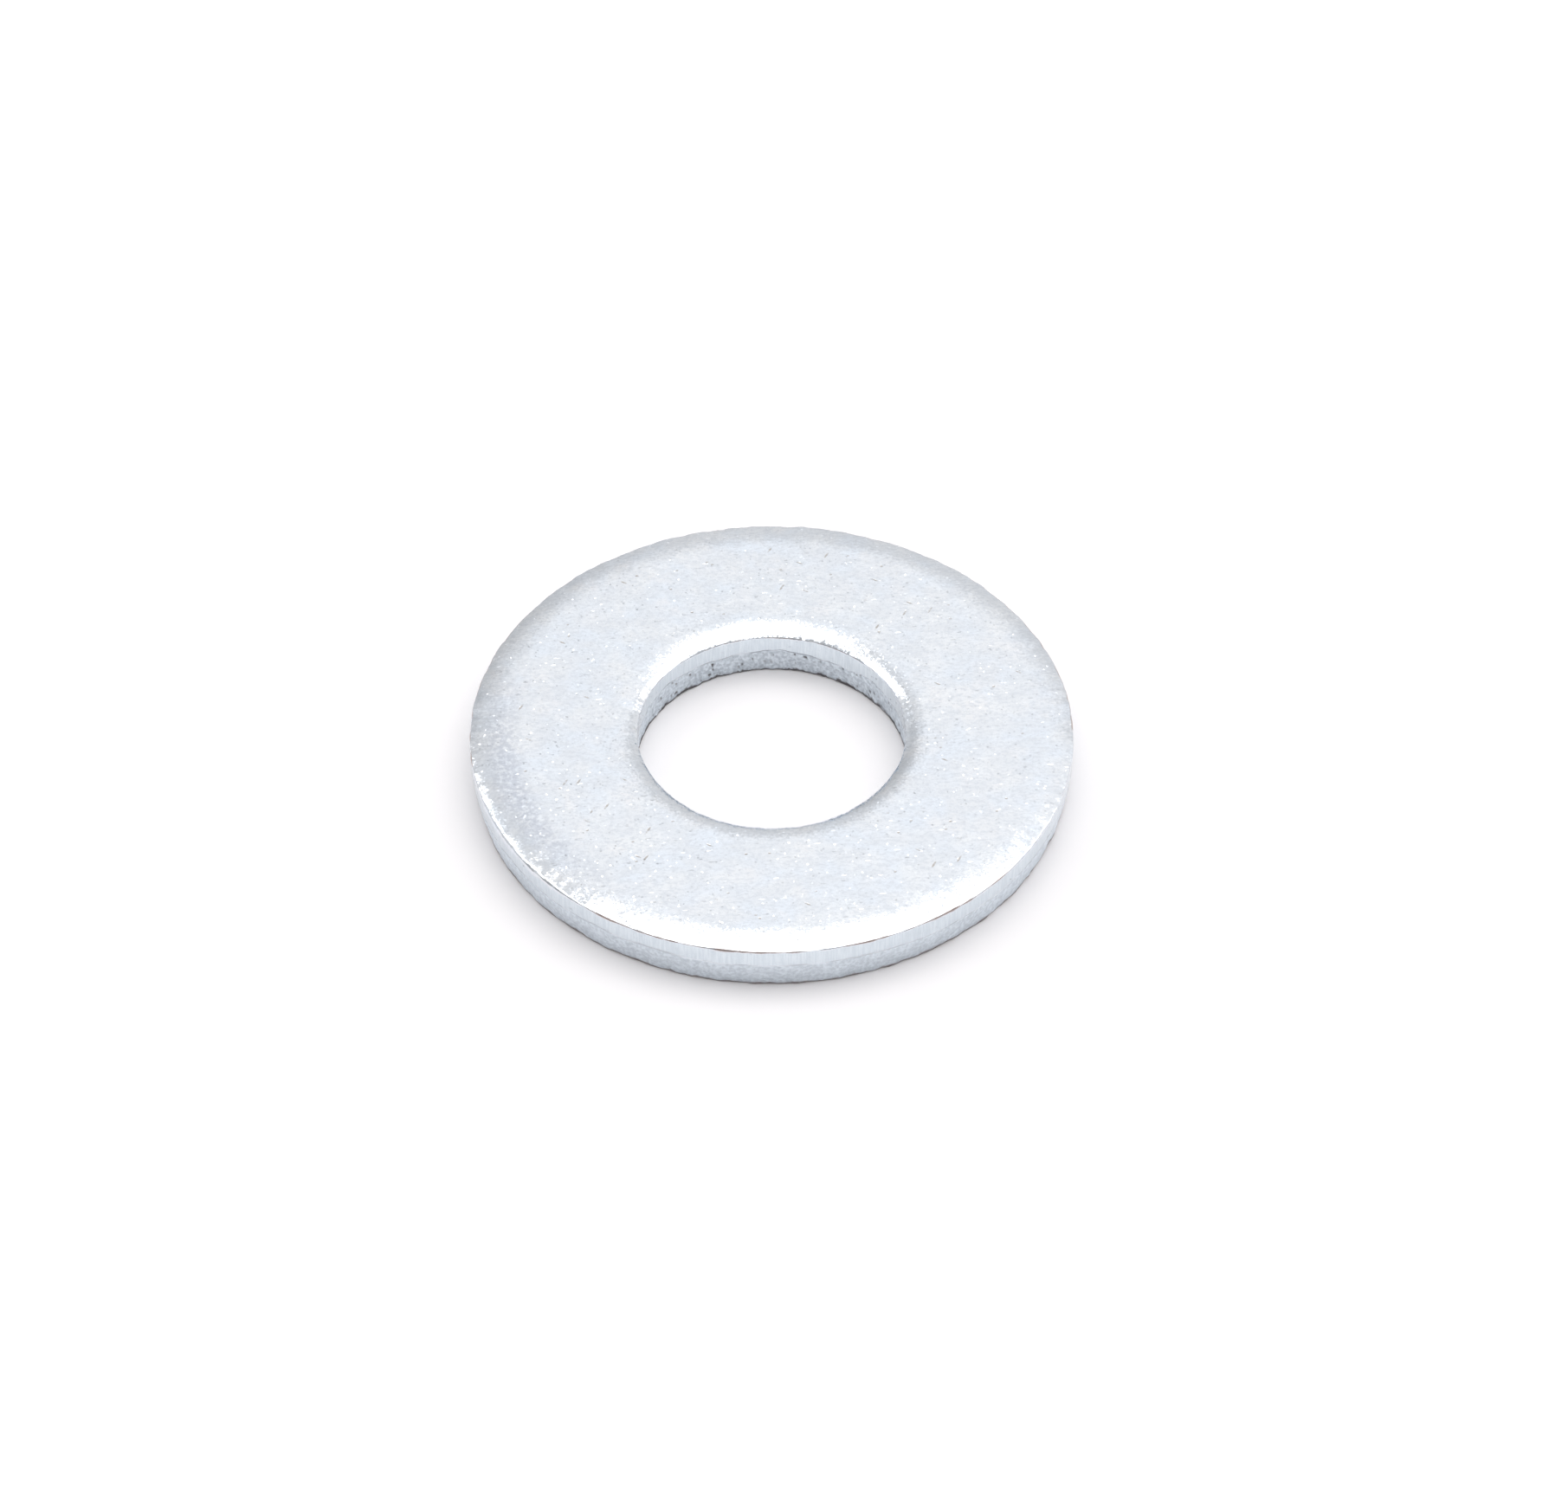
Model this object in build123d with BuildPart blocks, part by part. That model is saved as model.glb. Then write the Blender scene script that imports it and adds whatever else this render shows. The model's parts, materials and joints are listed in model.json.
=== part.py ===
"""Flat washer, 3/8 inch wide series, punched from steel strip and zinc plated.

The washer is one piece of steel. A punch and a die shear it out of strip in one stroke, and that
stroke gives both of its edges, the rim and the hole, the same three bands. From the top face down:

    shoulder  the strip's skin is dragged down and rounds over before the cut begins
    land      the tool shears the steel cleanly, and leaves a smooth, upright wall
    fracture  the rest of the thickness tears off, and leans back into the washer

All of it is one closed section, turned about the axis of the hole. Millimetres, +Z up, with the
origin at the centre of the hole on the bottom face, which is the face that the washer lies on.
"""

from build123d import *
import os

# Driving dimensions
outer_diameter = 25.4
hole_diameter = 11.3
thickness = 2.3

# Rim: the drag is shallow and wide, because the die's edge was outside the cut
rim_shoulder_depth = 0.19
rim_shoulder_width = 1.53
rim_land_height = 0.87
rim_fracture_lean = 0.21

# Hole: the punch presses in from the top face, so that its shoulder is deeper
hole_shoulder_depth = 0.32
hole_shoulder_width = 1.10
hole_land_height = 0.77
hole_fracture_lean = 0.07

# A shoulder is two tangent arcs, a wide gentle one and then a tighter one.
# They meet at the knee, which is given as shares of the shoulder's width and depth.
rim_knee_width_share = 0.61
rim_knee_depth_share = 0.338
hole_knee_width_share = 0.55
hole_knee_depth_share = 0.22

# Radii and heights that follow from those dimensions
rim_radius = outer_diameter / 2
hole_radius = hole_diameter / 2
rim_foot_radius = rim_radius - rim_fracture_lean
hole_foot_radius = hole_radius + hole_fracture_lean

rim_land_top = thickness - rim_shoulder_depth
rim_land_foot = rim_land_top - rim_land_height
hole_land_top = thickness - hole_shoulder_depth
hole_land_foot = hole_land_top - hole_land_height

rim_flat_radius = rim_radius - rim_shoulder_width
rim_knee = (
    rim_flat_radius + rim_knee_width_share * rim_shoulder_width,
    thickness - rim_knee_depth_share * rim_shoulder_depth,
)
hole_flat_radius = hole_radius + hole_shoulder_width
hole_knee = (
    hole_flat_radius - hole_knee_width_share * hole_shoulder_width,
    thickness - hole_knee_depth_share * hole_shoulder_depth,
)

os.makedirs("parts", exist_ok=True)

with BuildPart() as flat_washer:
    # The section stands on the XZ plane: its first coordinate is the radius, its second the height.
    with BuildSketch(Plane.XZ) as section:
        with BuildLine() as outline:
            # up the rim, from the bottom face to the top face
            rim_fracture = Line((rim_foot_radius, 0), (rim_radius, rim_land_foot))
            rim_land = Line(rim_fracture @ 1, (rim_radius, rim_land_top))
            top_face = Line((rim_flat_radius, thickness), (hole_flat_radius, thickness))
            rim_drag = TangentArc(top_face @ 0, rim_knee, tangent=(1, 0))
            rim_turn = TangentArc(rim_drag @ 1, rim_land @ 1, tangent=rim_drag % 1)

            # down the hole, from the top face back to the bottom face
            hole_drag = TangentArc(top_face @ 1, hole_knee, tangent=(-1, 0))
            hole_turn = TangentArc(hole_drag @ 1, (hole_radius, hole_land_top), tangent=hole_drag % 1)
            hole_land = Line(hole_turn @ 1, (hole_radius, hole_land_foot))
            hole_fracture = Line(hole_land @ 1, (hole_foot_radius, 0))
            bottom_face = Line(hole_fracture @ 1, rim_fracture @ 0)
        make_face()
    revolve(axis=Axis.Z)

flat_washer.part.label = "flat_washer"
export_step(flat_washer.part, "parts/flat_washer.step")

ring_width = rim_radius - hole_radius
print(f"flat washer: {outer_diameter} mm across, hole {hole_diameter} mm, {thickness} mm thick")
print(f"ring width {ring_width:.2f} mm, volume {flat_washer.part.volume:.1f} cubic mm")
print(f"slope where the rim's shoulder meets its land: {(rim_turn % 1).get_angle(Vector(1, 0)):.1f} degrees")
print(f"slope where the hole's shoulder meets its land: {(hole_turn % 1).get_angle(Vector(-1, 0)):.1f} degrees")
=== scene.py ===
# %% [markdown]
# # A punched, zinc plated flat washer
#
# A flat washer is a ring of steel strip that a press punches out in one stroke, and that a plating
# shop then covers with a few thousandths of a millimetre of zinc. Nothing on it moves and nothing
# is joined to it. What there is to model is how it was made: a top edge that rounds over where the
# strip's skin was dragged down, a smooth band where the tool sheared the steel, a rough band where
# the rest tore off, a ragged foot, which painted shade darkens, and the bright, finely grained coat
# of zinc over all.
#
# The lesson builds that ring around a fixed frame, the CAD model, which gives the outside, the
# hole, the thickness and the height of the sheared band in the hole.

# %% The frame and its sizes
import json
import math
import bpy
import numpy as np
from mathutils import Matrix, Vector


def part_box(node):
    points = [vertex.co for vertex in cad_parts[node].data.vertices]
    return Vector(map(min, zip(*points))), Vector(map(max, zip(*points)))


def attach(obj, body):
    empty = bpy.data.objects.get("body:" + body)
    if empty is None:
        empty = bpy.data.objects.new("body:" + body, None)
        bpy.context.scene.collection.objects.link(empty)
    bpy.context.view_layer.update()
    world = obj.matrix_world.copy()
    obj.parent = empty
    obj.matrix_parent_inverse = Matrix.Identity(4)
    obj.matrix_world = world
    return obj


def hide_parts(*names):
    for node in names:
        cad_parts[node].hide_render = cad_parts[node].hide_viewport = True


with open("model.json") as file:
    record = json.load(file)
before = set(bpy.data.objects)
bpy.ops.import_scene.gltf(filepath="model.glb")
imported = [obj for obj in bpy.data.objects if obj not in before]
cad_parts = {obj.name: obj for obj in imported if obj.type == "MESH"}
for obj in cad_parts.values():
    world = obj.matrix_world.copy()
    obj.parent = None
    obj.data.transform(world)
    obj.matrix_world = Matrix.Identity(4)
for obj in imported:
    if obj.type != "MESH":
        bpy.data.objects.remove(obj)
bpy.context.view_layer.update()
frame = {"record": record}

MM = 0.001
cad_low, cad_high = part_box("flat_washer")
bore = next(m for m in frame["record"]["mounts"] if m["name"] == "bore")

rim_radius = (cad_high[0] - cad_low[0]) / 2
thickness = cad_high[2]
hole_radius = bore["dims"]["r_mm"] * MM
bore_half = bore["dims"]["length_mm"] * MM / 2
hole_land_top = bore["pos_m"][2] + bore_half
hole_land_foot = bore["pos_m"][2] - bore_half
print(f"rim {2 * rim_radius / MM:.1f} mm, hole {2 * hole_radius / MM:.1f} mm")
print(f"{thickness / MM:.1f} mm thick")

# %% [markdown]
# ## Random numbers that are smooth
#
# Torn steel, a wavy edge and a worn crease are all random, but smooth at their own scale. A noise
# texture would do inside a material. The mesh needs the same thing as numbers, so here is one made
# of an array of random numbers on a cubic lattice, blended between neighbours. Its main setting is
# the grain, the distance over which it changes. Its seed makes every run give the same washer.

# %% Smooth noise
LATTICE = 48
SEED_STEP = 101
SEED_SHIFT = 0.37


def noise(points, grain, seed, octaves=1):
    """Smooth random values, mostly between -1 and 1, one for each point.

    Each of a point's eight lattice neighbours has a random number. The value is their mean, weighted
    along each axis by 3t^2 - 2t^3, where t is how far the point is on its way to that neighbour.
    Each further octave has half the grain and half the strength.
    """
    total, strength = 0.0, 1.0
    for octave in range(octaves):
        generator = np.random.default_rng(seed + SEED_STEP * octave)
        values = generator.uniform(-1, 1, (LATTICE,) * 3)
        cell = points / grain + SEED_SHIFT * seed
        corner = np.floor(cell).astype(int)
        eased = cell - corner
        eased = eased * eased * (3 - 2 * eased)
        for step in np.ndindex(2, 2, 2):
            pull = np.prod(np.where(step, eased, 1 - eased), axis=-1)
            i, j, k = np.moveaxis((corner + step) % LATTICE, -1, 0)
            total = total + strength * pull * values[i, j, k]
        grain, strength = grain / 2, strength / 2
    return total


sample = noise(np.linspace([0, 0, 0], [1, 0, 0], 1000), grain=0.01, seed=1)
print(f"a hundred grains of noise run from {sample.min():.2f} to {sample.max():.2f}")


# %% [markdown]
# ## The section, corner by corner
#
# The ring is a profile carried round a circle. A lathe (the Screw or Spin tool) would give the
# same section at every angle, and a real press doesn't: the torn band is higher in one place than
# another, and the shoulder is wider here and narrower there. So every corner of the section is an
# array over the angle, a height or a radius that wanders a little, and the bands between corners
# are filled in afterwards. The corners keep close to those of the CAD model.

# %% Angles, and lengths that wander round the ring
ANGLES = 790
angle = np.linspace(0, 2 * np.pi, ANGLES, endpoint=False)[:, None]
circle = np.stack([np.cos(angle), np.sin(angle), 0 * angle], axis=-1)
ground = 0 * angle  # the height of the table, at every angle


def wander(radius, grain, seed, reach, octaves=2):
    """A length for each angle that wanders by about reach mm either way, and closes on itself.

    It is the noise met on the way round a circle of that radius, with the grain in mm too.
    """
    return reach * MM * noise(radius * circle, grain * MM, seed, octaves)


def near(values, centre, half_width):
    """1 at the centre, falling as 1 minus the square of the distance to 0 at half_width."""
    return np.clip(1 - ((values - centre) / half_width) ** 2, 0, 1)


def on_side(middle, half_width):
    """1 in the middle of one side of the ring and 0 past its two ends, both told in degrees."""
    return near(angle, np.radians(middle), np.radians(half_width))


print(f"{ANGLES} angles, one every {2 * np.pi * rim_radius / ANGLES / MM:.2f} mm of the rim")

# %% [markdown]
# The rim's crease is not equally tight all round: on one side the barrel has knocked it rounder.

# %% Corners of the rim
rim_shoulder_depth = 0.18 * MM
rim_shoulder_width = 1.53 * MM
rim_land_height = 0.80 * MM
rim_fracture_lean = 0.21 * MM
rim_crease_usual = 0.055 * MM
rim_crease_rounder = 0.11 * MM
rim_crease_least = 0.012 * MM

rounder_side = on_side(213, 24)
rim_crease_run = rim_crease_usual + rim_crease_rounder * rounder_side
rim_crease_run = rim_crease_run + wander(rim_radius, grain=0.45, seed=19, reach=0.045, octaves=3)
rim_crease_run = rim_crease_run.clip(rim_crease_least)
rim_crease_top = thickness - rim_shoulder_depth + wander(rim_radius, grain=0.8, seed=11, reach=0.012)
rim_land_foot = thickness - rim_shoulder_depth - rim_land_height
rim_land_foot = rim_land_foot + wander(rim_radius, grain=1.6, seed=12, reach=0.11, octaves=4)
rim_flat = rim_radius - rim_shoulder_width + wander(rim_radius, grain=3.0, seed=13, reach=0.10)
rim_foot = rim_radius - rim_fracture_lean
rim_foot = rim_foot + wander(rim_radius, grain=0.6, seed=14, reach=0.03, octaves=3)
print(f"rim crease {rim_crease_run.min() / MM:.3f} to {rim_crease_run.max() / MM:.3f} mm wide")

# %% Corners of the hole
hole_crease_drop = 0.02 * MM
hole_shoulder_depth = thickness - hole_land_top - hole_crease_drop
hole_shoulder_width = 1.10 * MM
hole_fracture_lean = 0.07 * MM
hole_crease_usual = 0.018 * MM
hole_crease_least = 0.004 * MM

hole_crease_run = wander(hole_radius, grain=0.40, seed=20, reach=0.030, octaves=3)
hole_crease_run = (hole_crease_usual + hole_crease_run).clip(hole_crease_least)
hole_crease_top = thickness - hole_shoulder_depth + wander(hole_radius, grain=0.7, seed=15, reach=0.015)
hole_tear = hole_land_foot + wander(hole_radius, grain=1.5, seed=16, reach=0.13, octaves=4)
hole_flat = hole_radius + hole_shoulder_width + wander(hole_radius, grain=2.5, seed=17, reach=0.08)
hole_foot = hole_radius + hole_fracture_lean
hole_foot = hole_foot + wander(hole_radius, grain=0.5, seed=18, reach=0.03, octaves=3)
print(f"hole tears {hole_tear.min() / MM:.2f} to {hole_tear.max() / MM:.2f} mm above the table")

# %% [markdown]
# ## Arcs, shoulders and creases
#
# The shoulders are two tangent arcs, as on the CAD model, and a third, very tight one rounds the
# crease where the shoulder meets the sheared land. An arc is told by its start, the way it sets
# out, and its end. A point a share t of the way along it lies on a chord that has turned by t times
# the angle between the first heading and the whole chord, which needs one sine and no centre.

# %% Lines and arcs
def straight(start, end, share):
    """Points on a straight line: start plus a share of the way to end."""
    return [a + (b - a) * share for a, b in zip(start, end)]


def nearest_turn(turn):
    """The same turn, brought between half a circle one way and half a circle the other."""
    return (turn + np.pi) % (2 * np.pi) - np.pi


def arc(start, heading, end, share):
    """Points on the circular arc that leaves start along heading and passes through end.

    The whole chord has length L and stands at angle q to the heading. At a share t of the arc, the
    chord has length L sin(tq) / sin(q), and stands at tq. Gives the points and the last heading.
    """
    across, up = end[0] - start[0], end[1] - start[1]
    turn = nearest_turn(np.arctan2(up, across) - heading)
    chord = np.hypot(across, up) * np.sin(share * turn) / np.sin(turn)
    way = heading + share * turn
    return [start[0] + chord * np.cos(way), start[1] + chord * np.sin(way)], heading + 2 * turn


half_way, _ = arc((0, 0), np.pi / 2, (1, 1), 0.5)
print(f"a quarter circle from 0, 0 to 1, 1 passes {half_way[0]:.3f}, {half_way[1]:.3f}")

# %% Shoulders and creases
DOWN = -np.pi / 2
RIM_KNEE = (0.61, 0.338)
HOLE_KNEE = (0.55, 0.22)
TINY_SHARE = 1e-6


def shoulder(flat, edge, heading, knee, share):
    """Two tangent arcs from the top face at flat down to the edge, meeting at the knee.

    The knee is told as a share of the way across and a share of the way down. Gives the points and
    the heading at the edge.
    """
    middle = [a + (b - a) * part for a, b, part in zip(flat, edge, knee)]
    first_share = np.clip(share / knee[0], TINY_SHARE, 1)
    first, middle_heading = arc(flat, heading, middle, first_share)
    second_share = np.clip((share - knee[0]) / (1 - knee[0]), TINY_SHARE, 1)
    second, last_heading = arc(middle, middle_heading, edge, second_share)
    return [np.where(share < knee[0], a, b) for a, b in zip(first, second)], last_heading


def crease_end(start, heading, run):
    """Where an arc that leaves start along heading has turned straight down, run further across.

    Its chord stands half way between the two headings, so the chord's length is run over the
    cosine of that angle.
    """
    way = heading + nearest_turn(DOWN - heading) / 2
    length = run / np.abs(np.cos(way))
    return [start[0] + length * np.cos(way), start[1] + length * np.sin(way)]


def even(count):
    """Shares from 0 to just under 1, evenly spaced."""
    return np.linspace(0, 1, count, endpoint=False)[None, :]


def crowded(count):
    """Shares from 0 to just under 1, crowded towards both ends: half of 1 - cos(pi t)."""
    return (1 - np.cos(np.pi * even(count))) / 2


print("six crowded shares:", crowded(6)[0].round(2))


# %% The rim's shoulder and crease
SHOULDER_ROWS = 17
CREASE_ROWS = 5
rim_top = (rim_flat, ground + thickness)
rim_edge = (rim_radius - rim_crease_run, rim_crease_top)
rim_shoulder, rim_heading = shoulder(rim_top, rim_edge, 0, RIM_KNEE, crowded(SHOULDER_ROWS))
rim_land_top = crease_end(rim_edge, rim_heading, rim_crease_run)
rim_crease, _ = arc(rim_edge, rim_heading, rim_land_top, even(CREASE_ROWS))
print(f"rim shoulder ends {np.degrees(-rim_heading).mean():.1f} degrees steep")

# %% The hole's shoulder and crease
hole_top = (hole_flat, ground + thickness)
hole_edge = (hole_radius + hole_crease_run, hole_crease_top)
inward = 1 - crowded(SHOULDER_ROWS)
hole_shoulder, hole_heading = shoulder(hole_top, hole_edge, np.pi, HOLE_KNEE, inward)
hole_land_corner = crease_end(hole_edge, hole_heading, hole_crease_run)
hole_crease, _ = arc(hole_edge, hole_heading, hole_land_corner, 1 - even(CREASE_ROWS))
print(f"hole shoulder ends {np.degrees(hole_heading - np.pi).mean():.1f} degrees steep")

# %% [markdown]
# ## The whole section
#
# The bands run from the hole's foot up its wall, over the top and down the rim, and back under the
# washer, so that the last row meets the first and the ring closes. A torn wall leaves the land
# straight down and bends away from it, so its points follow a power of the share.
#
# At the foot the last crumbs of metal have broken away, which leaves a ragged gap, some hundredths
# of a millimetre high, above the table. It and the painted shade laid on the foot further down give
# the washer its dark, uneven foot line.

# %% The gap at the foot
rim_gap_height = 0.07 * MM
hole_gap_height = 0.08 * MM
gap_depth = 0.20 * MM
LEAST_GAP = 0.1

rim_crumbs = noise(rim_radius * circle, grain=0.30 * MM, seed=21, octaves=3)
rim_gap = rim_gap_height * (0.60 + 0.5 * rim_crumbs).clip(LEAST_GAP, 1)
hole_crumbs = noise(hole_radius * circle, grain=0.22 * MM, seed=22, octaves=3)
hole_gap = hole_gap_height * (0.65 + 0.6 * hole_crumbs).clip(LEAST_GAP, 1)
print(f"the gap is {rim_gap.mean() / MM:.3f} mm under the rim, {hole_gap.mean() / MM:.3f} at the hole")

# %% Every band in order
TORN_ROWS, LAND_ROWS, GAP_ROWS = 14, 7, 2
TOP_ROWS, BOTTOM_ROWS = 28, 8
BOW = 1.3


def bowed(start, end, share):
    """Points that leave start straight up or down and bend towards end as a power of the share."""
    return [start[0] + (end[0] - start[0]) * share ** BOW, start[1] + (end[1] - start[1]) * share]


hole_wall = [(hole_foot, hole_gap), (ground + hole_radius, hole_tear), hole_land_corner]
rim_wall = [rim_land_top, (ground + rim_radius, rim_land_foot), (rim_foot, rim_gap)]
under = [(rim_foot - gap_depth, ground), (hole_foot + gap_depth, ground)]
bands = {
    "hole_torn": bowed(hole_wall[1], hole_wall[0], 1 - crowded(TORN_ROWS)),
    "hole_land": straight(hole_wall[1], hole_wall[2], crowded(LAND_ROWS)),
    "hole_crease": hole_crease,
    "hole_shoulder": hole_shoulder,
    "top_face": straight(hole_top, rim_top, even(TOP_ROWS)),
    "rim_shoulder": rim_shoulder,
    "rim_crease": rim_crease,
    "rim_land": straight(rim_wall[0], rim_wall[1], crowded(LAND_ROWS)),
    "rim_torn": bowed(rim_wall[1], rim_wall[2], crowded(TORN_ROWS)),
    "rim_gap": straight(rim_wall[2], under[0], even(GAP_ROWS)),
    "bottom_face": straight(under[0], under[1], crowded(BOTTOM_ROWS)),
    "hole_gap": straight(under[1], hole_wall[0], even(GAP_ROWS)),
}
radius = np.hstack([across for across, up in bands.values()])
height = np.hstack([up for across, up in bands.values()])
counts = [up.shape[1] for across, up in bands.values()]
band = np.repeat(list(bands), counts)
share = np.concatenate([np.arange(count) / count for count in counts])
print(f"{ANGLES} angles x {radius.shape[1]} rows = {2 * radius.size:,} triangles")

# %% [markdown]
# ## Relief
#
# The rows now lie on smooth bands. Torn steel isn't smooth, and nor is a strip that has been rolled,
# punched and tumbled in a plating barrel. Each kind of relief is a height along the surface's own
# outward direction, weighted by the band that it belongs to: crumbled metal and a few gashes where
# the steel tore, fine upright drag marks where the punch sheared it, and shallow dents on top. The
# bottom face is hollow by a hundredth, so that the washer stands on a line near the rim and one
# near the hole.

# %% Points and outward directions
points = np.stack([radius * np.cos(angle), radius * np.sin(angle), height], axis=-1)


def outward(points):
    """Unit normals of a closed grid: the cross product of its two directions of travel."""
    along = np.roll(points, -1, axis=1) - np.roll(points, 1, axis=1)
    around = np.roll(points, -1, axis=0) - np.roll(points, 1, axis=0)
    normal = np.cross(along, around)
    return normal / np.linalg.norm(normal, axis=-1, keepdims=True)


def weight(*names, fade=0.12):
    """1 on the named bands, easing to 0 over the share fade at each band's two ends."""
    ends = np.minimum(share, 1 - share) / fade
    return np.where(np.isin(band, names), np.clip(ends, 0, 1), 0)[None, :]


def ramp(values, low, high):
    """0 below low, 1 above high, and a straight ramp between them."""
    return np.clip((values - low) / (high - low), 0, 1)


print(f"the section is {radius.min() / MM:.2f} to {radius.max() / MM:.2f} mm from the axis")


# %% Where each kind of relief goes
torn = weight("hole_torn", "rim_torn")
crumbled = weight("hole_torn") + 0.6 * weight("rim_torn")
sheared = weight("hole_land", "rim_land")
rounded = weight("hole_shoulder", "rim_shoulder", fade=0.3)
flat = weight("top_face", fade=0.05)
hollow = weight("bottom_face", fade=0.3)
slanted = points + points[..., 2:] * [0.5, 0.5, 1.6]
gash = ramp(noise(slanted, grain=0.20 * MM, seed=39, octaves=2), 0.78, 0.95)
gash = weight("hole_torn", fade=0.2) * gash
dent = flat * ramp(noise(points, grain=0.9 * MM, seed=35, octaves=2), 0.60, 1.0)
print(f"gashes on {(gash > 0).mean():.1%} of the points, dents on {(dent > 0).mean():.1%}")

# %% The relief, laid on and kept inside the frame's box
CRUMB_HEIGHT, GASH_DEPTH = 0.034 * MM, 0.040 * MM
DRAG_HEIGHT, DIMPLE_HEIGHT = 0.005 * MM, 0.0020 * MM
WAVE_HEIGHT, DENT_DEPTH = 0.003 * MM, 0.007 * MM
HOLLOW_DEPTH = 0.010 * MM

crumbs = noise(points, grain=0.40 * MM, seed=32, octaves=4) - 0.5
drags = noise(points * [1, 1, 0.12], grain=0.16 * MM, seed=31, octaves=2)
dimples = noise(points, grain=0.55 * MM, seed=33, octaves=3)
waves = noise(points, grain=1.6 * MM, seed=34, octaves=2)
relief = (
    crumbled * CRUMB_HEIGHT * crumbs
    - gash * GASH_DEPTH
    + sheared * DRAG_HEIGHT * drags
    + rounded * DIMPLE_HEIGHT * dimples
    + flat * WAVE_HEIGHT * waves
    - dent * DENT_DEPTH
    - hollow * HOLLOW_DEPTH
)
points = points + outward(points) * relief[..., None]
points[..., 2] = points[..., 2].clip(0, thickness)
spread = np.hypot(points[..., 0], points[..., 1])
points[..., :2] *= (np.minimum(spread, rim_radius) / spread)[..., None]
print(f"relief from {relief.min() / MM:.3f} to {relief.max() / MM:.3f} mm")

# %% The mesh
rows = radius.shape[1]
here = np.arange(ANGLES)[:, None] * rows + np.arange(rows)[None, :]
beside = np.roll(here, -1, axis=0)
quads = np.stack([here, np.roll(here, -1, axis=1), np.roll(beside, -1, axis=1), beside], axis=-1)
quads = quads.reshape(-1, 4)
vertices = points.reshape(-1, 3)
mesh = bpy.data.meshes.new("punched_washer")
mesh.from_pydata(vertices.tolist(), [], quads.tolist())
mesh.polygons.foreach_set("use_smooth", np.ones(len(quads), bool))

a, b, c, d = (vertices[quads[:, k]] for k in range(4))
volume = (np.cross(b, c) * a + np.cross(c, d) * a).sum() / 6
print(f"closed ring of {volume / MM ** 3:.0f} cubic mm, faces outwards: {volume > 0}")

# %% [markdown]
# ## What the mesh tells the material
#
# The material has to know where the steel tore and how badly, where it was sheared, and where
# the crease and the foot get painted shade. The grid knows all of that already, so each mask
# goes into the mesh as an attribute, one number for each point. Boxes or gradients in the
# material could give some of these masks, but not a band whose edge wanders.

# %% Bands as attributes
def paint(name, values):
    """Stores one number for each point of the grid as an attribute that the material can read."""
    values = np.broadcast_to(values, radius.shape).astype(np.float32)
    mesh.attributes.new(name, "FLOAT", "POINT").data.foreach_set("value", values.ravel())
    print(f"{name}: on {(values > 0.5).mean():.1%} of the points")


def whole(*names):
    """1 on every row of the named bands, and 0 on the others."""
    return np.isin(band, names).astype(float)[None, :]


paint("torn", torn)
paint("crumbled", crumbled)
paint("sheared", sheared)
# the gash mask also carries painted shade into the bottoms of the gashes
paint("gash", gash)
paint("level", whole("top_face", "bottom_face"))

# %% [markdown]
# The crease gets painted brown shade, for the dark reflection along it, in some places and not
# in others: at the back of the hole where it is tight, and round the rim except on the rounder
# side and one other side.

# %% Painted shade along the creases
hole_crease_shade = ramp(noise(hole_radius * circle, grain=0.45 * MM, seed=41, octaves=3), -0.15, 0.15)
hole_crease_shade = hole_crease_shade * on_side(95, 60) ** 0.5
hole_crease_shade = hole_crease_shade * (1 - ramp(hole_crease_run, 0.022 * MM, 0.038 * MM))
rim_crease_shade = ramp(noise(rim_radius * circle, grain=0.75 * MM, seed=42, octaves=3), -0.6, 0.1)
rim_crease_shade = rim_crease_shade * (1 - ramp(rounder_side + on_side(355, 38), 0, 0.3))
crease_shade = hole_crease_shade * weight("hole_crease", fade=0.3) + rim_crease_shade * weight("rim_crease", fade=0.3)
# painted shade along the creases, stored as the crease attribute
paint("crease", crease_shade)

# %% [markdown]
# Where the smooth land ends and the tear begins there is a thin grey line, on and off. Painted
# shade darkens the foot, from the gap up to a ragged line. The hole's painted shade ends inside
# the gap, or it would fade out over the next faces of the bottom, which are far wider.

# %% The tear line and the painted shade at the foot
TEAR_LINE_HALF = 0.045 * MM
SHADE_FADE = 0.03 * MM
SHADE_EDGE = 0.05 * MM

patchy = ramp(noise(points, grain=0.8 * MM, seed=45, octaves=3), -0.2, 0.5)
hole_line = near(height, hole_tear - 0.01 * MM, TEAR_LINE_HALF) * whole("hole_torn", "hole_land")
rim_line = near(height, rim_land_foot, TEAR_LINE_HALF) * whole("rim_torn", "rim_land")
paint("tear_line", (hole_line + 0.6 * rim_line) * patchy)

hole_ragged = ramp(noise(hole_radius * circle, grain=0.28 * MM, seed=43, octaves=3), -0.3, 1)
hole_shade_top = hole_gap + (0.06 + 0.15 * hole_ragged) * MM
hole_low = ramp(hole_shade_top - points[..., 2], 0, SHADE_FADE)
hole_low = hole_low * ramp(hole_foot + gap_depth - radius, 0, SHADE_EDGE)
# painted shade: dark at the hole's foot, over the gap and the bottom of the torn band
paint("hole_foot", whole("hole_torn", "hole_gap") * hole_low)

rim_ragged = ramp(noise(rim_radius * circle, grain=0.5 * MM, seed=44, octaves=3), -0.3, 1)
rim_shade_top = rim_gap + (0.04 + 0.09 * rim_ragged) * MM
rim_low = ramp(rim_shade_top - points[..., 2], 0, SHADE_FADE)
# painted shade: dark at the rim's foot, over the gap and the bottom of the torn band
paint("rim_foot", whole("rim_torn", "rim_gap") * rim_low)

# %% [markdown]
# One side has a rougher patch just inside the shoulder, with painted grey shade for the dark
# reflection there. And near the hole the punch strained the steel, which opens its grain.

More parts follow.
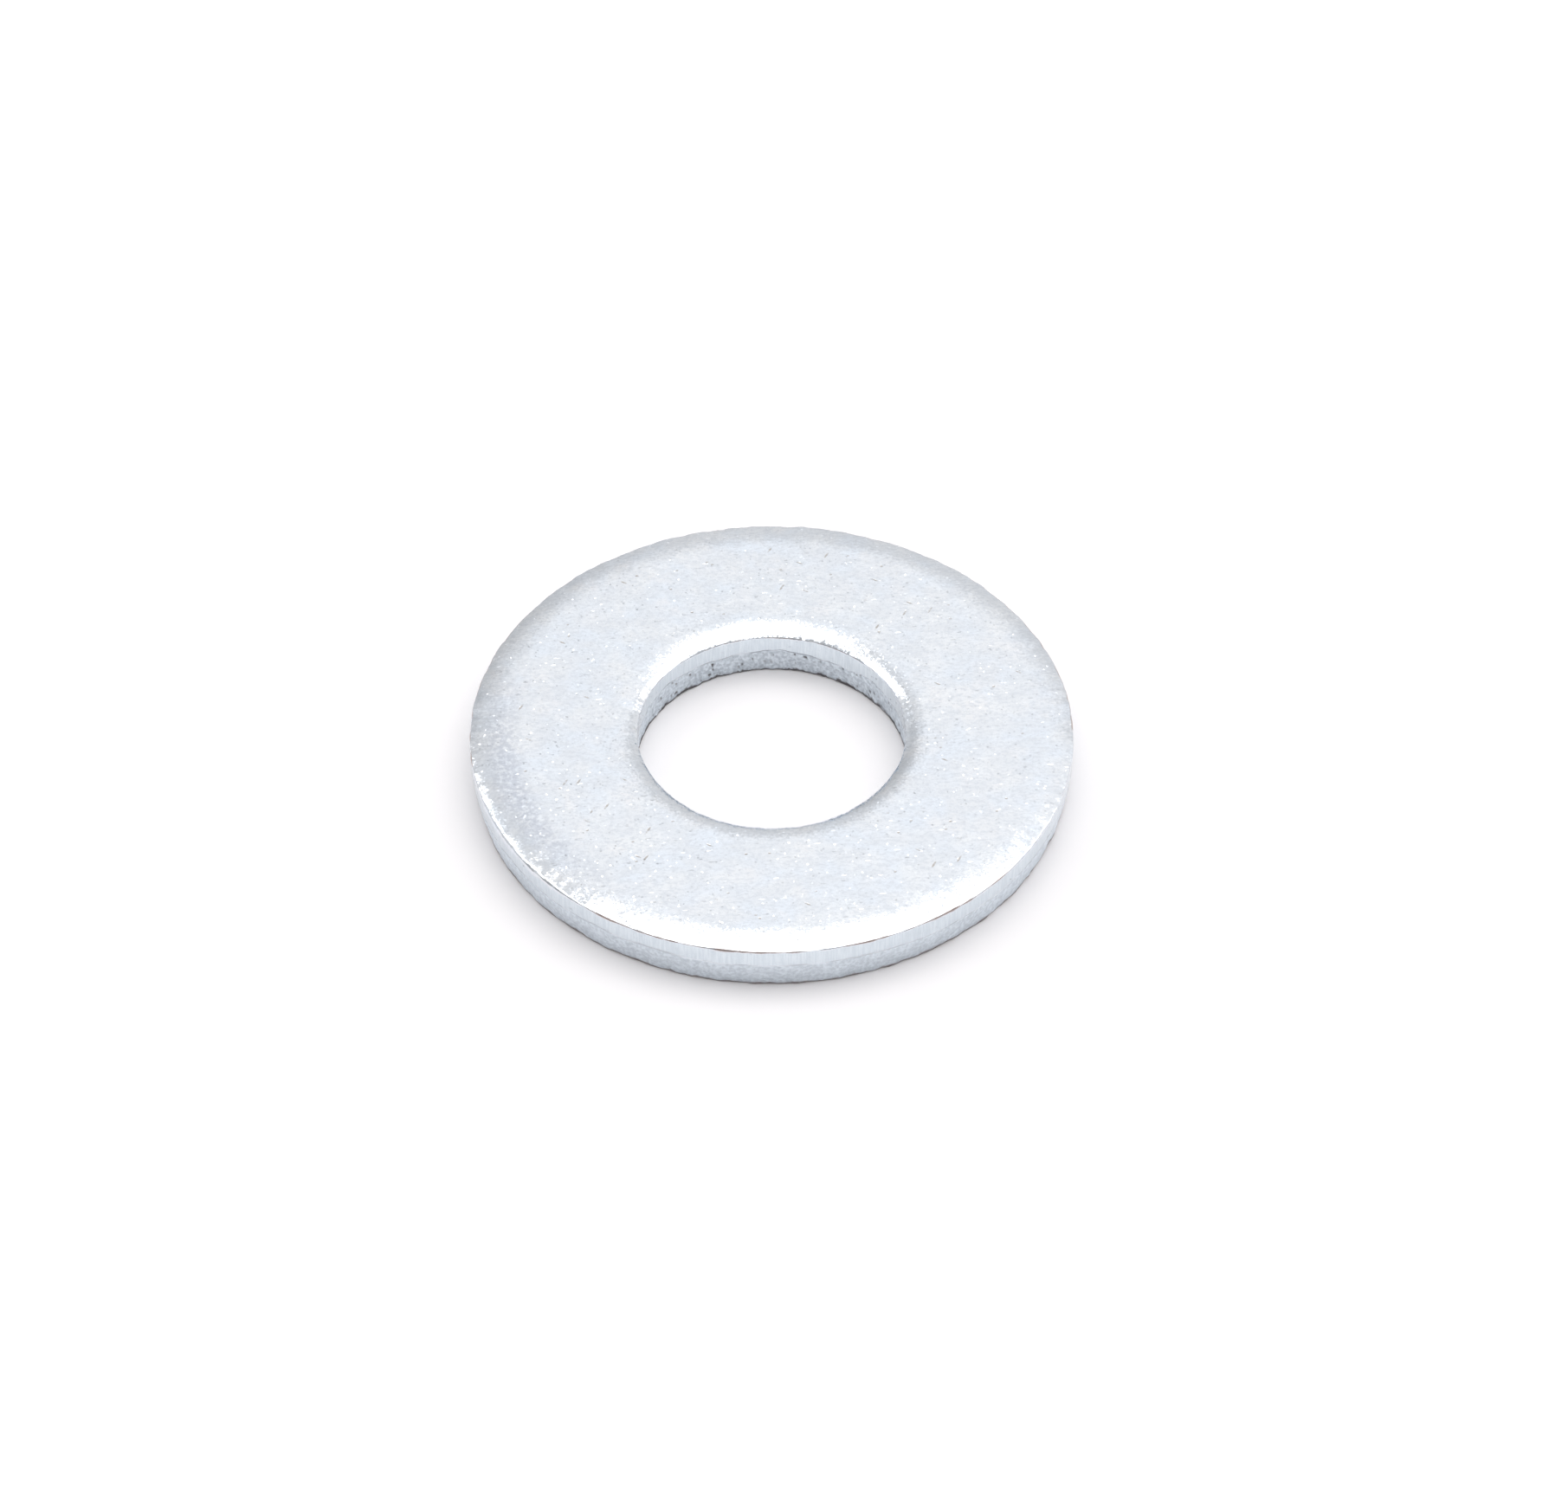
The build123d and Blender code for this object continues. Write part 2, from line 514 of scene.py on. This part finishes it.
# %% The dull side with painted shade, and the strained ring
DULL_SHADE_INSET = 1.35 * MM
DULL_SHADE_HALF = 0.85 * MM
dull = on_side(200, 38) * near(radius, rim_radius - DULL_SHADE_INSET, DULL_SHADE_HALF)
paint("dull", dull * whole("top_face", "rim_shoulder"))
paint("strained", 1 - ramp(radius, hole_flat - 0.2 * MM, hole_flat + 0.7 * MM))

# %% [markdown]
# ## The washer as an object
#
# The skin rides on the frame's only body and takes the place of its one plain node. Its place is
# in its mesh, so the object itself sits at the origin.

# %% The washer in the frame
mesh.update()
washer = bpy.data.objects.new("punched_washer", mesh)
bpy.context.collection.objects.link(washer)

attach(washer, "root")
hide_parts("flat_washer")
print(f"{washer.name}: {len(mesh.vertices):,} points, {len(mesh.polygons):,} faces")

# %% [markdown]
# ## Shader maths as ordinary sums
#
# A material's masks are sums and products of numbers. Written as Python expressions they read like
# the sums they are, so a small class wraps one socket of a node and answers to +, - and *. Every
# other node comes from one function, which is told the node's kind, its settings and its sockets.

# %% Shades
class Shade:
    """One socket of a node tree. Sums of shades add the Math nodes that work them out."""

    def __init__(self, socket):
        self.socket = socket

    def math(self, operation, *others):
        """A Math node on this shade and the others."""
        inputs = dict(enumerate((self, *others)))
        return add(self.socket.id_data, "ShaderNodeMath", {"operation": operation}, inputs)

    def __add__(self, other):
        return self.math("ADD", other)

    def __sub__(self, other):
        return self.math("SUBTRACT", other)

    def __rsub__(self, other):
        return (self * -1) + other

    def __mul__(self, other):
        return self.math("MULTIPLY", other)

    __radd__, __rmul__ = __add__, __mul__

    def between(self, low, high):
        """0 below low, 1 above high, and an S-shaped ramp between them."""
        settings = {"interpolation_type": "SMOOTHSTEP"}
        inputs = {"Value": self, "From Min": low, "From Max": high}
        return add(self.socket.id_data, "ShaderNodeMapRange", settings, inputs)


def add(tree, kind, settings=None, inputs=None, output=0):
    """Adds a node, makes its settings, then fills its sockets with numbers, colours or shades."""
    node = tree.nodes.new(kind)
    for name, value in (settings or {}).items():
        setattr(node, name, value)
    for name, value in (inputs or {}).items():
        if isinstance(value, Shade):
            tree.links.new(value.socket, node.inputs[name])
        else:
            node.inputs[name].default_value = value
    return Shade(node.outputs[output]) if node.outputs else None


# %% [markdown]
# ## The finish: bright zinc
#
# Seen close, zinc plate is not a mirror. It is a coat of tiny grains over a strip that was rolled,
# and each grain leans its own way by a degree or so. Where a lamp's edge is nearly in the mirror
# direction, some grains catch it and their neighbours don't, which is what gives a highlight its
# sparkling border. A few grains lean much further and glint anywhere.
#
# The colour drifts as well, from a bluish to a plain and a faintly warm grey, with clouds and
# freckles where the coat is thinner. All patterns read Object coordinates, so they stay put.

# %% The material, and the patterns it is made of
zinc = bpy.data.materials.new("bright_zinc_plate")
zinc.use_nodes = True
tree = zinc.node_tree
tree.nodes.clear()
place = add(tree, "ShaderNodeTexCoord", output="Object")


def blend(mask, low, high):
    """A colour that goes from low to high as mask goes from 0 to 1."""
    inputs = {"Factor": mask, "A": low, "B": high}
    return add(tree, "ShaderNodeMix", {"data_type": "RGBA"}, inputs, "Result")


def laid(stretch=(1, 1, 1), turn=0.0, offset=0.0):
    """Object coordinates moved along, turned about Z, then stretched along the turned X, Y and Z."""
    inputs = {
        "Vector": place,
        "Location": (offset, offset, offset),
        "Rotation": (0, 0, turn),
        "Scale": stretch,
    }
    return add(tree, "ShaderNodeMapping", {"vector_type": "TEXTURE"}, inputs)


def grainy(grain, detail=2.0, where=place, output="Fac"):
    """Noise from 0 to 1 that changes over about grain metres."""
    inputs = {"Vector": where, "Scale": 1 / grain, "Detail": detail, "Roughness": 0.55}
    return add(tree, "ShaderNodeTexNoise", {}, inputs, output)


def mask(name):
    """An attribute of the mesh."""
    return add(tree, "ShaderNodeAttribute", {"attribute_name": name}, output="Fac")


print(f"{zinc.name} starts with {len(tree.nodes)} node")


# %% Colour of the zinc
BLUE_ZINC = (0.748, 0.800, 0.872, 1)
PLAIN_ZINC = (0.800, 0.824, 0.858, 1)
WARM_ZINC = (0.832, 0.826, 0.838, 1)
CLOUDED_ZINC = (0.725, 0.755, 0.800, 1)
FRECKLED_ZINC = (0.655, 0.690, 0.745, 1)

tint = blend(grainy(2.0 * MM).between(0.38, 0.62), BLUE_ZINC, PLAIN_ZINC)
rosy = grainy(1.4 * MM, where=laid(offset=0.01)).between(0.50, 0.75)
tint = blend(rosy * 0.6, tint, WARM_ZINC)
clouds = grainy(0.70 * MM, 4, laid((1.6, 1, 1), offset=0.02)).between(0.35, 0.70)
tint = blend(clouds * 0.85, tint, CLOUDED_ZINC)
freckles = grainy(0.13 * MM, 3, laid((1.5, 1, 1), offset=0.09)).between(0.40, 0.70)
tint = blend(freckles * 0.75, tint, FRECKLED_ZINC)
print("zinc from", BLUE_ZINC[:3], "to", WARM_ZINC[:3])

# %% [markdown]
# The walls are darker than the top, because the zinc is thinner and rougher there. The sheared land
# keeps upright drag marks from the punch, and the torn band is speckled, the more so the more it
# has crumbled.

# %% Colour of the walls
SHEARED_DARK = (0.655, 0.720, 0.775, 1)
SHEARED_BRIGHT = (0.742, 0.804, 0.852, 1)
TORN_BRIGHT = (0.785, 0.845, 0.900, 1)
TORN_DARK = (0.53, 0.58, 0.63, 1)
TEAR_GREY = (0.40, 0.43, 0.46, 1)
torn_mask, sheared_mask, crumbled_mask = mask("torn"), mask("sheared"), mask("crumbled")

upright = grainy(0.075 * MM, 2, laid((1, 1, 14)))
land_tint = blend(upright.between(0.35, 0.70), SHEARED_DARK, SHEARED_BRIGHT)
speckle = grainy(0.16 * MM, 4, laid(offset=0.03)).between(0.36, 0.66)
torn_tint = blend((1 - speckle) * (crumbled_mask * 0.8 + 0.1), TORN_BRIGHT, TORN_DARK)
tint = blend(sheared_mask, tint, land_tint)
tint = blend(torn_mask, tint, torn_tint)
tint = blend(mask("tear_line") * 0.9, tint, TEAR_GREY)
print("torn steel from", TORN_BRIGHT[:3], "to", TORN_DARK[:3])

# %% [markdown]
# Small damage and painted shade: short brown scratches and pits on the flat faces, and painted
# shade on the dull patch, along the crease, at the foot and in the bottoms of the gashes. A scratch
# is a Voronoi cell's middle, which stretching the coordinates makes long and thin. Three sets of
# them lie in three directions.
# A second Voronoi node gives the cell's colour, from which White Noise draws whether it has a mark.

# %% Pits and scratches
def luck_of(colour):
    """A random number from 0 to 1, drawn from the random colour of a cell."""
    return add(tree, "ShaderNodeTexWhiteNoise", {"noise_dimensions": "3D"}, {"Vector": colour}, "Value")


def scratches(spacing, width, length, turn, chance):
    """Short marks, width by length, about spacing apart, on a chance share of the cells."""
    where = laid((length / width, 1, 1), turn, offset=0.013 * turn)
    settings = {"voronoi_dimensions": "2D"}
    inputs = {"Vector": where, "Scale": 1 / spacing}
    reach = width / 2 / spacing
    distance = add(tree, "ShaderNodeTexVoronoi", settings, inputs, "Distance")
    colour = add(tree, "ShaderNodeTexVoronoi", settings, inputs, "Color")
    chosen = luck_of(colour).between(1 - chance, 1.02 - chance)
    return (1 - distance.between(reach * 0.4, reach)) * chosen


marks = scratches(0.60 * MM, width=0.115 * MM, length=0.52 * MM, turn=1.1, chance=0.14)
marks = marks + scratches(0.60 * MM, width=0.105 * MM, length=0.42 * MM, turn=-0.5, chance=0.12)
marks = marks + scratches(0.60 * MM, width=0.130 * MM, length=0.17 * MM, turn=0.3, chance=0.10)
marks = marks * mask("level") * grainy(0.15 * MM, where=laid(offset=0.04)).between(0.25, 0.60)
print(f"{len(tree.nodes)} nodes so far")

# %% Painted shade on the dull patch, the creases, the foot and the gashes, and the marks
DULL_SHADE_GREY = (0.52, 0.55, 0.615, 1)
MARK_BROWN = (0.46, 0.42, 0.385, 1)
CREASE_SHADE_BROWN = (0.42, 0.33, 0.30, 1)
FOOT_SHADE_BROWN = (0.24, 0.19, 0.18, 1)
PAINTED_SHADE_DARK = (0.10, 0.085, 0.085, 1)
crease_mask = mask("crease")

dull_and_shade_patch = mask("dull") * grainy(0.22 * MM, 4, laid(offset=0.05)).between(0.33, 0.60)
# painted shade: a grey, rougher patch for the dark reflection on the left of the shoulder
tint = blend(dull_and_shade_patch * 0.9, tint, DULL_SHADE_GREY)
tint = blend(marks * 0.85, tint, MARK_BROWN)
# painted shade: brown along the creases, for their dark reflection
tint = blend(crease_mask * 0.9, tint, CREASE_SHADE_BROWN)
# painted shade: brown at the rim's foot
tint = blend(mask("rim_foot") * 0.8, tint, FOOT_SHADE_BROWN)
# painted shade: near black at the hole's foot
tint = blend(mask("hole_foot") * 0.9, tint, PAINTED_SHADE_DARK)
# painted shade: near black in the bottoms of the gashes
tint = blend(mask("gash"), tint, PAINTED_SHADE_DARK)
print("marks from", DULL_SHADE_GREY[:3], "to", PAINTED_SHADE_DARK[:3])

# %% [markdown]
# ## The relief that is too fine for the mesh
#
# A Voronoi texture gives every point of a cell the same random colour. Read as a direction, that
# colour is the way the cell's grain leans, and it is added to the surface normal. Three sets of
# leaning grains make the sparkle: fine ones, coarser ones, and long ones that follow the way the
# strip was rolled. They lean further on the strained ring.

# %% Leaning grains
def vector(operation, first, second):
    """One Vector Math node."""
    return add(tree, "ShaderNodeVectorMath", {"operation": operation}, {0: first, 1: second})


def leaning(grain, usual, rare, chance, where=place):
    """Grains that each lean their own way: by up to usual, and a chance few by up to rare more.

    The lean is the cell's random colour less one half, times a reach that a second random number
    picks for the cell.
    """
    cell = add(tree, "ShaderNodeTexVoronoi", {}, {"Vector": where, "Scale": 1 / grain}, "Color")
    reach = luck_of(cell).between(1 - chance, 1) * rare + usual
    lean = vector("SUBTRACT", cell, (0.5, 0.5, 0.5))
    return add(tree, "ShaderNodeVectorMath", {"operation": "SCALE"}, {0: lean, "Scale": reach})


normal = add(tree, "ShaderNodeNewGeometry", output="Normal")
rolled = laid((4.5, 1, 1), 0.08)
usual_lean = mask("strained") * 0.06 + 0.05
fine_grains = leaning(0.075 * MM, usual=usual_lean, rare=0.40, chance=0.054)
coarse_grains = leaning(0.11 * MM, usual=0.02, rare=0.24, chance=0.02)
long_grains = leaning(0.045 * MM, usual=0.03, rare=0.50, chance=0.012, where=rolled)
leans = vector("ADD", vector("ADD", fine_grains, coarse_grains), long_grains)
leaned = vector("ADD", normal, leans)
leaned = add(tree, "ShaderNodeVectorMath", {"operation": "NORMALIZE"}, {0: leaned})
print(f"{len(tree.nodes)} nodes so far")

# %% [markdown]
# Over the grains a Bump node adds orange peel, rolling lines, upright drag marks on the land,
# crumbs on the torn band and a little depth in the scratches. Its heights are in millimetres, so
# its Distance is one millimetre.

# %% Bumps
peel = grainy(0.40 * MM, 3, laid(offset=0.06)) * 0.0045
rolling = grainy(0.06 * MM, 2, laid((14, 1, 1), 0.08)) * 0.0007
drag = upright * sheared_mask * 0.0030
crumble = grainy(0.14 * MM, 4, laid(offset=0.07)) * crumbled_mask * 0.014
scars = marks * -0.004
bump_height = peel + rolling + drag + crumble + scars
bump_inputs = {"Strength": 1.0, "Distance": MM, "Height": bump_height, "Normal": leaned}
bump = add(tree, "ShaderNodeBump", {}, bump_inputs, "Normal")
print(f"{len(tree.nodes)} nodes so far")

# %% The zinc shader
roughness = 0.10 + grainy(0.5 * MM) * 0.07
roughness = roughness + torn_mask * 0.34 + dull_and_shade_patch * 0.12 + crease_mask * 0.2
metal_inputs = {"Base Color": tint, "Metallic": 1.0, "Roughness": roughness, "Normal": bump}
metal = add(tree, "ShaderNodeBsdfPrincipled", {}, metal_inputs)
add(tree, "ShaderNodeOutputMaterial", {}, {"Surface": metal})
mesh.materials.append(zinc)
print(f"{len(tree.nodes)} nodes in {zinc.name}")

# %% [markdown]
# ## The stage: floor, walls, lamps and camera
#
# The washer lies on white paper. Shiny things are lit by what they reflect, so the room matters as
# much as the lamps. Its walls are pale, brighter towards the ceiling and the right, and a little
# dimmer on the left. The side that the camera stands on is dim, which draws the thin dark line
# along the hole's crease. The room is a world shader, because nothing in it is ever near.

# %% Floor
FLOOR_REACH = 1.5
PAPER_WHITE = (0.835, 0.816, 0.826, 1)
floor_mesh = bpy.data.meshes.new("floor")
ends = ((-1, -1), (1, -1), (1, 1), (-1, 1))
floor_corners = [(x * FLOOR_REACH, y * FLOOR_REACH, 0) for x, y in ends]
floor_mesh.from_pydata(floor_corners, [], [(0, 1, 2, 3)])
floor = bpy.data.objects.new("floor", floor_mesh)
bpy.context.collection.objects.link(floor)

paper = bpy.data.materials.new("white_paper")
paper.use_nodes = True
paper.node_tree.nodes.clear()
matt = add(paper.node_tree, "ShaderNodeBsdfDiffuse", {}, {"Color": PAPER_WHITE})
add(paper.node_tree, "ShaderNodeOutputMaterial", {}, {"Surface": matt})
floor_mesh.materials.append(paper)
print(f"floor {2 * FLOOR_REACH:.0f} m across")

# %% Walls of the studio
LOW_WALL, HIGH_WALL, CEILING = 0.75, 0.09, 0.29
RIGHT_GAIN = 0.25
LEFT_LOSS = 0.24
FRONT_LOSS = 0.46

scene = bpy.context.scene
scene.view_settings.view_transform = "Standard"
world = bpy.data.worlds.new("studio")
scene.world = world
world.use_nodes = True
sky = world.node_tree
sky.nodes.clear()
gaze = add(sky, "ShaderNodeTexCoord", output="Generated")
right, back, up = (add(sky, "ShaderNodeSeparateXYZ", {}, {"Vector": gaze}, k) for k in range(3))
wall_glow = LOW_WALL + up.between(0.05, 0.35) * HIGH_WALL + up.between(0.46, 0.72) * CEILING
wall_glow = wall_glow * (1 + right.between(0.45, 0.85) * RIGHT_GAIN)
left_wall = (-0.02 - right).between(0.0, 0.33) * (1 - (0 - right).between(0.45, 0.75))
front_wall = (1 - back.between(-0.25, 0.25)) * (1 - up.between(0.78, 0.95))
glow = wall_glow * (1 - left_wall * LEFT_LOSS) * (1 - front_wall * FRONT_LOSS)
backdrop = add(sky, "ShaderNodeBackground", {}, {"Color": (1, 1, 1, 1), "Strength": glow})
add(sky, "ShaderNodeOutputWorld", {}, {"Surface": backdrop})
print(f"{len(sky.nodes)} nodes in the {world.name}")

# %% [markdown]
# The lamps are laid out by the places where their reflections should begin and end: a sheet of
# light overhead, and one more on each side.

# %% Lamps
LAMP_HEIGHT = 0.5


def softbox(name, shape, left, right, front, back, brightness):
    """A flat lamp that faces straight down, told by its edges as shares of its height.

    An edge at a share s is seen from the washer at an angle from straight up whose tangent is s.
    The lamp's power is its brightness times pi times its area.
    """
    lamp = bpy.data.lights.new(name, "AREA")
    lamp.shape = shape
    lamp.size = (right - left) * LAMP_HEIGHT
    lamp.size_y = (back - front) * LAMP_HEIGHT
    area = lamp.size * lamp.size_y * (math.pi / 4 if shape == "ELLIPSE" else 1)
    lamp.energy = brightness * math.pi * area
    holder = bpy.data.objects.new(name, lamp)
    holder.location = [part * LAMP_HEIGHT for part in ((left + right) / 2, (front + back) / 2, 1)]
    bpy.context.collection.objects.link(holder)
    print(f"{name}: {lamp.size:.2f} x {lamp.size_y:.2f} m, {lamp.energy:.2f} W")


softbox("overhead_softbox", "ELLIPSE", left=-0.48, right=0.74, front=-0.48, back=0.61, brightness=1.45)
softbox("left_softbox", "RECTANGLE", left=-1.70, right=-0.60, front=-0.20, back=0.85, brightness=1.3)
softbox("right_softbox", "RECTANGLE", left=0.74, right=1.70, front=-0.20, back=0.74, brightness=1.3)

# %% [markdown]
# The camera looks down at the washer from the front, from seven washer widths away, through a long
# lens. It aims a little beside the middle, so the washer stands slightly off centre.

# %% Camera
TILT = math.radians(45.2)
FAR = 14.08 * rim_radius
BESIDE = 0.0410 * rim_radius
ABOVE = 0.0527 * rim_radius
camera = bpy.data.objects.new("camera", bpy.data.cameras.new("camera"))
bpy.context.collection.objects.link(camera)
camera.data.sensor_width = 36
camera.data.lens = 96.7
camera.data.clip_start = 0.01
camera.rotation_euler = (math.pi / 2 - TILT, 0, 0)
camera.location = (
    BESIDE,
    ABOVE * math.sin(TILT) - FAR * math.cos(TILT),
    ABOVE * math.cos(TILT) + FAR * math.sin(TILT),
)
scene.camera = camera
print(f"camera {FAR / MM:.0f} mm away")
